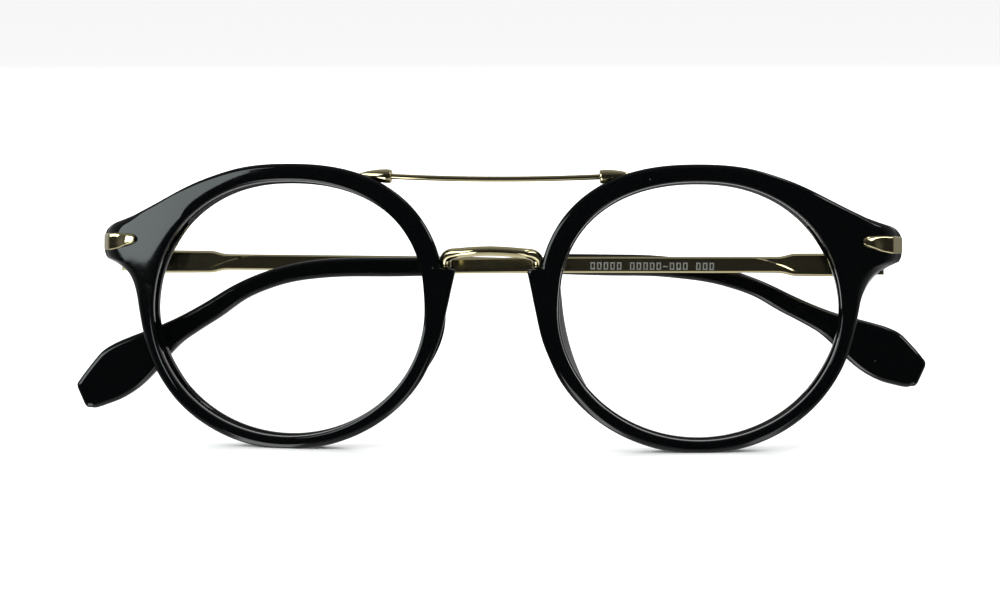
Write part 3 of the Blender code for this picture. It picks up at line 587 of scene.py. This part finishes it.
def pad_section(side, share):
    """One level of a nose pad, share of the way down it: a leaf that stands back from the rim and flares."""
    top, bottom = 4.6, -12.6
    v = top + (bottom - top) * share
    angle = math.pi - math.asin(max(-1, min(1, v / APERTURE_B))) * 0.97
    opening = LENS_CENTRE + aperture_radius(angle % (2 * math.pi)) * math.cos(angle)
    swell = math.sin(math.pi * (0.10 + 0.80 * share)) ** 0.8
    root = 2.5 * (0.55 + 0.45 * swell)
    reach, flare = 6.0 * swell, 1.5 * swell
    outer = opening - 0.75
    inner = outer - root
    edge = 1.2 * (0.5 + 0.5 * swell)
    tail = [(outer, 0.0), (outer + flare * 0.45, reach * 0.42), (outer + flare * 0.80, reach * 0.78),
            (outer + flare * 0.93, reach * 0.95), (outer + flare * 0.80, reach + edge * 0.25),
            (outer + flare * 0.55, reach + edge * 0.1), (inner + flare * 0.42, reach * 0.72),
            (inner + flare * 0.12, reach * 0.32), (inner, 0.0)]
    base = max(back_y(inner, v), back_y(outer, v)) - 0.25
    return [placed((side * x, base + depth, v)) for x, depth in smooth_through(tail, 3)]


def add_pad(side, word):
    levels = 40
    points, faces = loft([pad_section(side, k / levels) for k in range(levels + 1)])
    add_piece("pad_" + word, points, faces, ACETATE, "front", ["nose_pad_" + word], sharp=50)


# ---------------------------------------------------------------- metal of the front

# Half of the bridge up to its middle: x, y, v, half-height, half-depth. The foot narrows into the rim.
BRIDGE_FOOT = [(7.6, 1.3, 6.6, 0.5, 0.5), (7.6, 1.3, 7.1, 0.7, 0.7), (7.6, 1.3, 7.16, 0.86, 0.84)]
BRIDGE_FOOT_TOP = 7.3
BRIDGE = ((7.6, 1.3, 7.15, 0.93, 0.9), (7.63, 1.2, 7.9, 0.95, 0.92), (7.5, 0.9, 8.7, 0.98, 0.98),
          (6.75, 0.3, 9.28, 0.94, 1.05), (5.2, -0.5, 9.52, 0.85, 1.12), (2.6, -1.15, 9.75, 0.83, 1.15),
          (0.0, -1.35, 9.85, 0.83, 1.15))


def add_bridge():
    half = BRIDGE_FOOT + [p for p in smooth_through(BRIDGE, 8) if p[2] > BRIDGE_FOOT_TOP]
    whole = half + [(-p[0], *p[1:]) for p in half[-2::-1]]
    points, faces = swept([p[:3] for p in whole], [p[3:] for p in whole], 28)
    add_piece("bridge_bead", points, faces, GOLD, "front", ["bridge"])


BAR_R = 0.46
# The bar and its ferrules sit this far towards the wearer's left.
BAR_SHIFT = 0.45
BAR_V, BAR_Y, FERRULE_X = 21.76, 1.5, 17.35
BAR_RISE, BAR_SWEEP = 0.05, 0.10
FERRULE_V = BAR_V + BAR_RISE * FERRULE_X / 2
FERRULE_Y = BAR_Y + BAR_SWEEP * FERRULE_X / 2
# The ferrule's outside, from its flat end: distance along, radius. The first four rows stay sharp.
FERRULE = ((0.0, 0.5), (0.0, 0.92), (0.04, 1.03), (0.16, 1.13), (0.5, 1.16), (1.0, 1.18), (2.0, 1.1),
           (3.0, 0.95), (4.0, 0.74), (5.0, 0.44), (5.45, 0.23), (5.6, 0.06))


def add_brow_bar():
    steps = 24
    path = []
    for k in range(-steps - 2, steps + 3):
        share = k / steps
        y = BAR_Y + (FERRULE_Y - BAR_Y) * share ** 2
        v = BAR_V + (FERRULE_V - BAR_V) * share ** 2
        path.append((BAR_SHIFT + FERRULE_X * share, y, v))
    points, faces = swept(path, [(BAR_R, BAR_R)] * len(path), 24)
    add_piece("brow_wire", points, faces, GOLD, "front", ["brow_bar"])


def add_ferrule(side, word):
    start = (BAR_SHIFT + side * FERRULE_X, FERRULE_Y, FERRULE_V)
    profile = list(FERRULE[:4]) + smooth_through(FERRULE[4:], 4)
    points, faces = turned(profile, 36, start, (side, BAR_SWEEP, BAR_RISE))
    add_piece("ferrule_" + word, points, faces, GOLD, "front", ["brow_ferrule_" + word])


PLAQUE_V = 11.2
PLAQUE_END_X = 65.6
PLAQUE_CORNER_X = 65.75
PLAQUE_CORNER_R = 0.75
PLAQUE_BACK = SEAT_Y - 0.35
PLAQUE_PROUD = 0.3
PLAQUE_INSET = 0.6
PLAQUE_EDGE = 0.05
# Where the crest of the pillow lies, as a share of the half-height, and how boxy the rounded edge is.
PLAQUE_CREST = -0.6
PLAQUE_BOXINESS = 8
# Along the plaque from its rounded tip: x, half-height, centre height above PLAQUE_V.
PLAQUE = ((61.25, 0.22, 0.45), (61.5, 0.62, 0.43), (62.1, 0.92, 0.36), (63.1, 1.12, 0.25),
          (64.2, 1.28, 0.12), (PLAQUE_END_X, 1.42, 0.0))


def plaque_stations():
    """(point on the acetate, direction out of it, half-height, bulge) along the plaque."""
    out = []
    for x, half, rise in smooth_through(PLAQUE, 4)[:-1]:
        outward = Vector((front_slope(x, PLAQUE_V), -1, 0)).normalized()
        bulge = min(0.45 * half, 0.5 * (1 - eased((x - 62.4) / 2.8)))
        out.append((Vector((x, front_y(x, PLAQUE_V), PLAQUE_V + rise)), outward, half, bulge))
    flank = math.atan2(LUG_FLARE, THICK)
    centre_y = front_y(PLAQUE_CORNER_X, PLAQUE_V) + PLAQUE_CORNER_R
    centre = Vector((PLAQUE_CORNER_X, centre_y, PLAQUE_V - 0.08))
    first = math.atan(front_slope(PLAQUE_END_X, PLAQUE_V)) - math.pi / 2
    for k in range(8):
        angle = first + (-flank - first) * k / 7
        outward = Vector((math.cos(angle), math.sin(angle), 0))
        out.append((centre + outward * PLAQUE_CORNER_R, outward, 1.43 + 0.05 * k / 7, 0.03 * k / 7))
    along = Vector((math.sin(flank), math.cos(flank), 0))
    outward = Vector((math.cos(flank), -math.sin(flank), 0))
    start = out[-1][0]
    run = (PLAQUE_BACK - start.y) / along.y
    for k in range(1, 7):
        drop = Vector((0, 0, -0.06 * k / 6))
        out.append((start + along * run * k / 6 + drop, outward, 1.48 + 0.02 * k / 6, 0.03))
    return out


def add_plaque(side, word):
    """The pillowed plate let into the lug, wrapped round its corner."""
    sections = []
    steps = 24
    for at, outward, half, bulge in plaque_stations():
        profile = [(-half, -PLAQUE_INSET)]
        for k in range(steps + 1):
            share = math.sin(math.pi * (k / steps - 0.5))
            edge = (1 - abs(share) ** PLAQUE_BOXINESS) ** 0.5 if abs(share) < 1 else 0
            reach = (share - PLAQUE_CREST) / (1 - PLAQUE_CREST if share > PLAQUE_CREST else 1 + PLAQUE_CREST)
            out = -PLAQUE_EDGE + (PLAQUE_PROUD + PLAQUE_EDGE) * edge + bulge * (1 - reach * reach)
            profile.append((half * share, out))
        profile.append((half, -PLAQUE_INSET))
        sections.append([placed((side * (at.x + outward.x * out), at.y + outward.y * out, at.z + up))
                         for up, out in profile])
    points, faces = loft(sections)
    add_piece("plaque_" + word, points, faces, GOLD, "front", ["endpiece_plaque_" + word],
              sharp=45)


# ---------------------------------------------------------------- temples

OFFSET = 2.6
BLOCK_FRONT = -1.8
BLOCK_LENGTH = 14.2
# Along the metal temple: distance from the axis, centre height, half-height, half-thickness.
SHAFT = (
    (BLOCK_FRONT, 1.2, 0.65, 1.15), (BLOCK_FRONT + 0.08, 1.17, 0.78, 1.22),
    (BLOCK_FRONT + 0.3, 1.1, 0.98, 1.3), (0.8, 0.22, 1.9, 1.3), (1.0, 0.18, 1.96, 1.3),
    (1.3, 0.17, 1.97, 1.3), (3.0, 0.17, 1.97, 1.3), (6.0, 0.17, 1.97, 1.3), (10.0, 0.17, 1.94, 1.17),
    (BLOCK_LENGTH - 0.6, 0.17, 1.91, 1.06), (BLOCK_LENGTH, 0.17, 1.87, 1.03),
    (BLOCK_LENGTH + 0.6, 0.17, 1.72, 0.96), (BLOCK_LENGTH + 1.3, 0.16, 1.54, 0.86),
    (BLOCK_LENGTH + 2.0, 0.15, 1.42, 0.78), (BLOCK_LENGTH + 2.8, 0.14, 1.38, 0.72),
    (22.0, 0.12, 1.36, 0.65), (30.0, 0.08, 1.36, 0.65), (45.0, 0.01, 1.36, 0.65),
    (58.0, -0.08, 1.35, 0.65), (71.85, -0.33, 1.32, 0.65), (72.6, -0.33, 1.28, 0.6),
)
# Where the slanting crease on the inner face starts and ends along the temple, and its depth and softness.
CREASE = (11.8, 21.5)
CREASE_STEP = 0.12
CREASE_SOFT = 0.24
# Along the tip: a point of its upper edge, one of its lower edge (distance, height), half-thickness.
TIP = (
    ((72.0, 1.05), (72.0, -1.95), 1.35), ((82.0, 1.0), (82.0, -2.2), 1.5),
    ((90.0, 0.9), (90.0, -2.25), 1.6), ((96.0, 0.5), (95.0, -2.55), 1.7),
    ((101.0, -0.35), (99.5, -3.1), 1.75), ((105.5, -1.6), (103.5, -4.1), 1.8),
    ((110.0, -3.45), (107.8, -5.8), 1.8), ((114.5, -5.9), (112.0, -8.5), 1.8),
    ((118.3, -7.8), (115.8, -10.7), 1.75), ((121.6, -9.2), (118.9, -12.7), 1.75),
    ((124.8, -10.3), (121.5, -15.2), 1.7), ((127.9, -11.3), (123.7, -17.6), 1.7),
    ((130.6, -12.3), (126.3, -19.9), 1.65), ((132.7, -13.5), (129.2, -21.6), 1.6),
    ((134.4, -15.3), (131.8, -22.5), 1.55), ((135.9, -17.1), (133.7, -23.0), 1.5),
    ((136.8, -18.3), (134.75, -22.9), 1.4),
)
# How steeply each tip is bent, and how far the upper and lower edge of its front end are raised.
BEND = {"left": 1.11, "right": 0.88}
RAISED = {"left": (0.1, 0.0), "right": (0.8, 0.3)}


def shaft_section(along, up, half, thick):
    """A chamfered section. On the inner face the block steps down to the shaft along a slanting crease."""
    chamfer = min(0.35, thick * 0.45)
    height = 0.78 * half * (2 * eased((along - CREASE[0]) / (CREASE[1] - CREASE[0])) - 1)
    step = CREASE_STEP * eased((along - 8) / 3) * (1 - eased((along - 22) / 10))
    edge = half - chamfer
    levels = [edge, *(edge * (1 - 2 * k / 24) for k in range(1, 24)), -edge]
    inner = [(-thick - step * eased((z - height) / CREASE_SOFT), z) for z in levels]
    soft = chamfer * 0.25
    shape = [(chamfer - thick - soft, soft - half), (chamfer - thick + soft, -half),
             (thick - chamfer - soft, -half), (thick - chamfer + soft, soft - half),
             (thick - soft, chamfer - half - soft), (thick, chamfer - half + soft),
             (thick, half - chamfer - soft), (thick - soft, half - chamfer + soft),
             (thick - chamfer + soft, half - soft), (thick - chamfer - soft, half),
             (chamfer - thick + soft, half), (chamfer - thick - soft, half - soft)]
    return [(OFFSET + x, along, up + z) for x, z in inner + shape]


def dense_shaft():
    """The stations of the shaft, filled in evenly and closely where the block narrows."""
    rows = []
    for a, b in zip(SHAFT, SHAFT[1:]):
        count = max(1, math.ceil((b[0] - a[0]) / (0.35 if 12 < a[0] < 21 else 3.0)))
        rows += [tuple(p + (q - p) * k / count for p, q in zip(a, b)) for k in range(count)]
    return rows + [SHAFT[-1]]


def add_shaft(side, word):
    put = folded(side, word)
    points, faces = loft([[put(p) for p in shaft_section(*row)] for row in dense_shaft()])
    add_piece("shaft_" + word, points, faces, SHAFT_GOLD, "temple_" + word,
              ["temple_shaft_" + word], sharp=18)


def tip_rows(word):
    """The stations of a tip with its own bend, smoothed: upper edge, lower edge, half-thickness."""
    rows = []
    for upper, lower, thick in TIP:
        drop = min(0, (upper[1] + lower[1]) / 2 + 1.0) * (BEND[word] - 1)
        share = 1 - eased((upper[0] - 88) / 22)
        top, bottom = (value * share + drop for value in RAISED[word])
        rows.append((upper[0], upper[1] + top, lower[0], lower[1] + bottom, thick))
    return smooth_through(rows, 5)


def tip_section(row, inset):
    """A section with rounded corners between a point of the upper edge and one of the lower edge."""
    top, low = Vector((0, row[0], row[1])), Vector((0, row[2], row[3]))
    up = (top - low).normalized()
    half = (top - low).length / 2 - inset
    thick = row[4] - inset
    r = min(0.95, thick * 0.62, half * 0.62)
    shape = []
    corners = ((thick - r, half - r, 0), (r - thick, half - r, 90), (r - thick, r - half, 180),
               (thick - r, r - half, 270))
    for cx, cz, start in corners:
        turns = [math.radians(start + t) for t in (0, 15, 30, 45, 60, 75, 90)]
        shape += [(cx + r * math.cos(a), cz + r * math.sin(a)) for a in turns]
    middle = (top + low) / 2 + Vector((OFFSET, 0, 0))
    return [middle + Vector((x, 0, 0)) + up * z for x, z in shape]


# The rounding of a tip's two ends: how far each section is drawn in, and how far it lies along the temple.
TIP_START_CAP = ((0.30, 0.0), (0.14, 0.04), (0.04, 0.14), (0.0, 0.30))
TIP_END_CAP = ((0.12, 0.25), (0.35, 0.46), (0.7, 0.6), (1.15, 0.68))
TIP_END_SLOPE = 0.55


def add_tip(side, word):
    put = folded(side, word)
    rows = tip_rows(word)
    sections = []
    for inset, shift in TIP_START_CAP:
        sections.append([p + Vector((0, shift, 0)) for p in tip_section(rows[0], inset)])
    sections += [tip_section(row, 0.0) for row in rows[1:]]
    for inset, shift in TIP_END_CAP:
        onwards = Vector((0, shift, -shift * TIP_END_SLOPE))
        sections.append([p + onwards for p in tip_section(rows[-1], inset)])
    points, faces = loft([[put(p) for p in section] for section in sections])
    add_piece("tip_" + word, points, faces, ACETATE, "temple_" + word,
              ["temple_tip_" + word], sharp=50)


def add_marks():
    """Plain printed marks, little open boxes (o) and a dash, where a size would be printed on a temple."""
    put = folded(1, "left")
    face = OFFSET - SHAFT[-2][3]
    stroke, wide, high, foot = 0.22, 0.78, 1.25, -0.8
    dash_low, pitch, gap = 0.45, 1.13, 1.1
    sunk, proud = 0.02, 0.012
    points, faces = [], []
    start = 27.5
    for group in ("ooo", "ooo-ooooo", "ooooo"):
        for kind in group:
            low, top = (dash_low, dash_low + stroke) if kind == "-" else (0.0, high)
            outer = ((0, low), (wide, low), (wide, top), (0, top))
            hole = stroke * 0.495 if kind == "-" else stroke
            inner = [(min(max(y, hole), wide - hole), min(max(z, low + hole), top - hole)) for y, z in outer]
            base = len(points)
            for x in (face + sunk, face - proud):
                points += [put((x, start + y, foot + z)) for y, z in (*outer, *inner)]
            for i in range(4):
                j = (i + 1) % 4
                faces += [(base + i, base + j, base + 4 + j, base + 4 + i),
                          (base + 8 + j, base + 8 + i, base + 12 + i, base + 12 + j),
                          (base + j, base + i, base + 8 + i, base + 8 + j),
                          (base + 4 + i, base + 4 + j, base + 12 + j, base + 12 + i)]
            start += pitch
        start += gap
    add_piece("print_marks", points, faces, PRINT, "temple_left", sharp=30)


# ---------------------------------------------------------------- assembly

def refinish(name, finish):
    """A CAD node that stays gets a better finish."""
    slots = frame["nodes"][name].data.materials
    slots.clear()
    slots.append(finish)


add_bridge()
add_brow_bar()
for side, word in SIDES:
    add_rim(side, word)
    add_lens(side, word)
    add_pad(side, word)
    add_ferrule(side, word)
    add_plaque(side, word)
    add_shaft(side, word)
    add_tip(side, word)
    refinish("front_hinge_" + word, HINGE_METAL)
    refinish("temple_hinge_" + word, HINGE_METAL)
    refinish("hinge_screw_" + word, SCREW_METAL)
add_marks()
